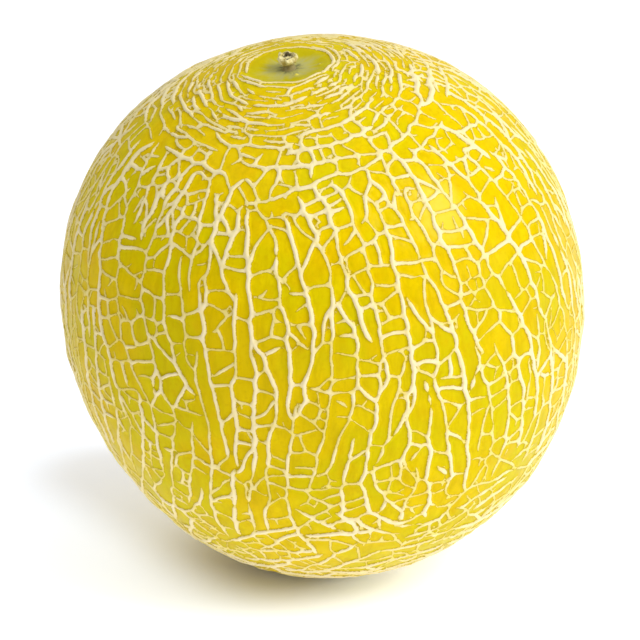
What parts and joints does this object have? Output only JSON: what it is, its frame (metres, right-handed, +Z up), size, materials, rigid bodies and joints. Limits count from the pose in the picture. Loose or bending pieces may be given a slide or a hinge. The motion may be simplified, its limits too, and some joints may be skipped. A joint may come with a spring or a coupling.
{
  "type": "galia melon",
  "caption": "Ripe round melon with a yellow rind under a raised cream cork net, a shallow bare dish round a dry stalk stub and a flat resting spot.",
  "frame": {"origin": "centre of the flat spot that the melon lies on, at the height of the table top", "axes": "+Z up from the table; the stalk end is up and leans 10 degrees towards -Y, the front, and 7.5 degrees towards -X"},
  "size_m": [0.1413, 0.1407, 0.1479],
  "materials": {
    "rind": "satin",
    "dry_stalk": "dry and fibrous"
  },
  "bodies": {
    "root": {"fruit": "rind", "stem_stub": "dry_stalk"}
  },
  "joints": []
}
